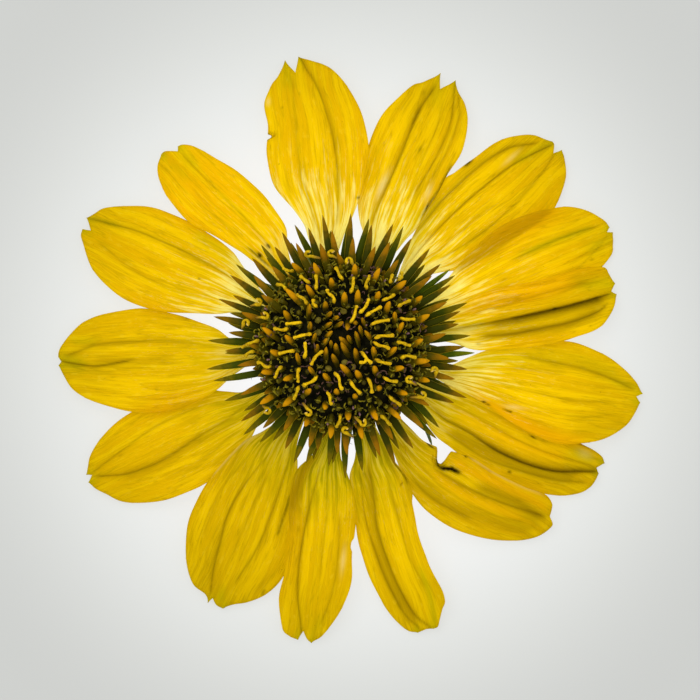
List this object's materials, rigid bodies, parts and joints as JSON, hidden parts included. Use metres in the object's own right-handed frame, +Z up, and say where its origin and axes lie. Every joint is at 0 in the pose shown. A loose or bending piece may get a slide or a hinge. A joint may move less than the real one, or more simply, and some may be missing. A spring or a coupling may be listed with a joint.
{
  "type": "yellow coneflower head",
  "caption": "Cut yellow coneflower head lying face up: notched ray petals round a spiny brown-green cone, on a short stem stub with green bracts.",
  "frame": {"origin": "on the surface the head lies on, under the middle of its box", "axes": "+Z up through the cone, from the stem stub to the florets; +Y towards the top of the picture, +X to its right"},
  "size_m": [0.0974, 0.0974, 0.0266],
  "materials": {
    "petal_yellow": "satin",
    "cone_brown": "satin",
    "bract_green": "matte"
  },
  "bodies": {
    "root": {"petal_01": "petal_yellow", "petal_02": "petal_yellow", "petal_03": "petal_yellow", "petal_04": "petal_yellow", "petal_05": "petal_yellow", "petal_06": "petal_yellow", "petal_07": "petal_yellow", "petal_08": "petal_yellow", "petal_09": "petal_yellow", "petal_10": "petal_yellow", "petal_11": "petal_yellow", "petal_12": "petal_yellow", "petal_13": "petal_yellow", "petal_14": "petal_yellow", "petal_15": "petal_yellow", "cone": "cone_brown", "stem_and_bracts": "bract_green"}
  },
  "joints": []
}
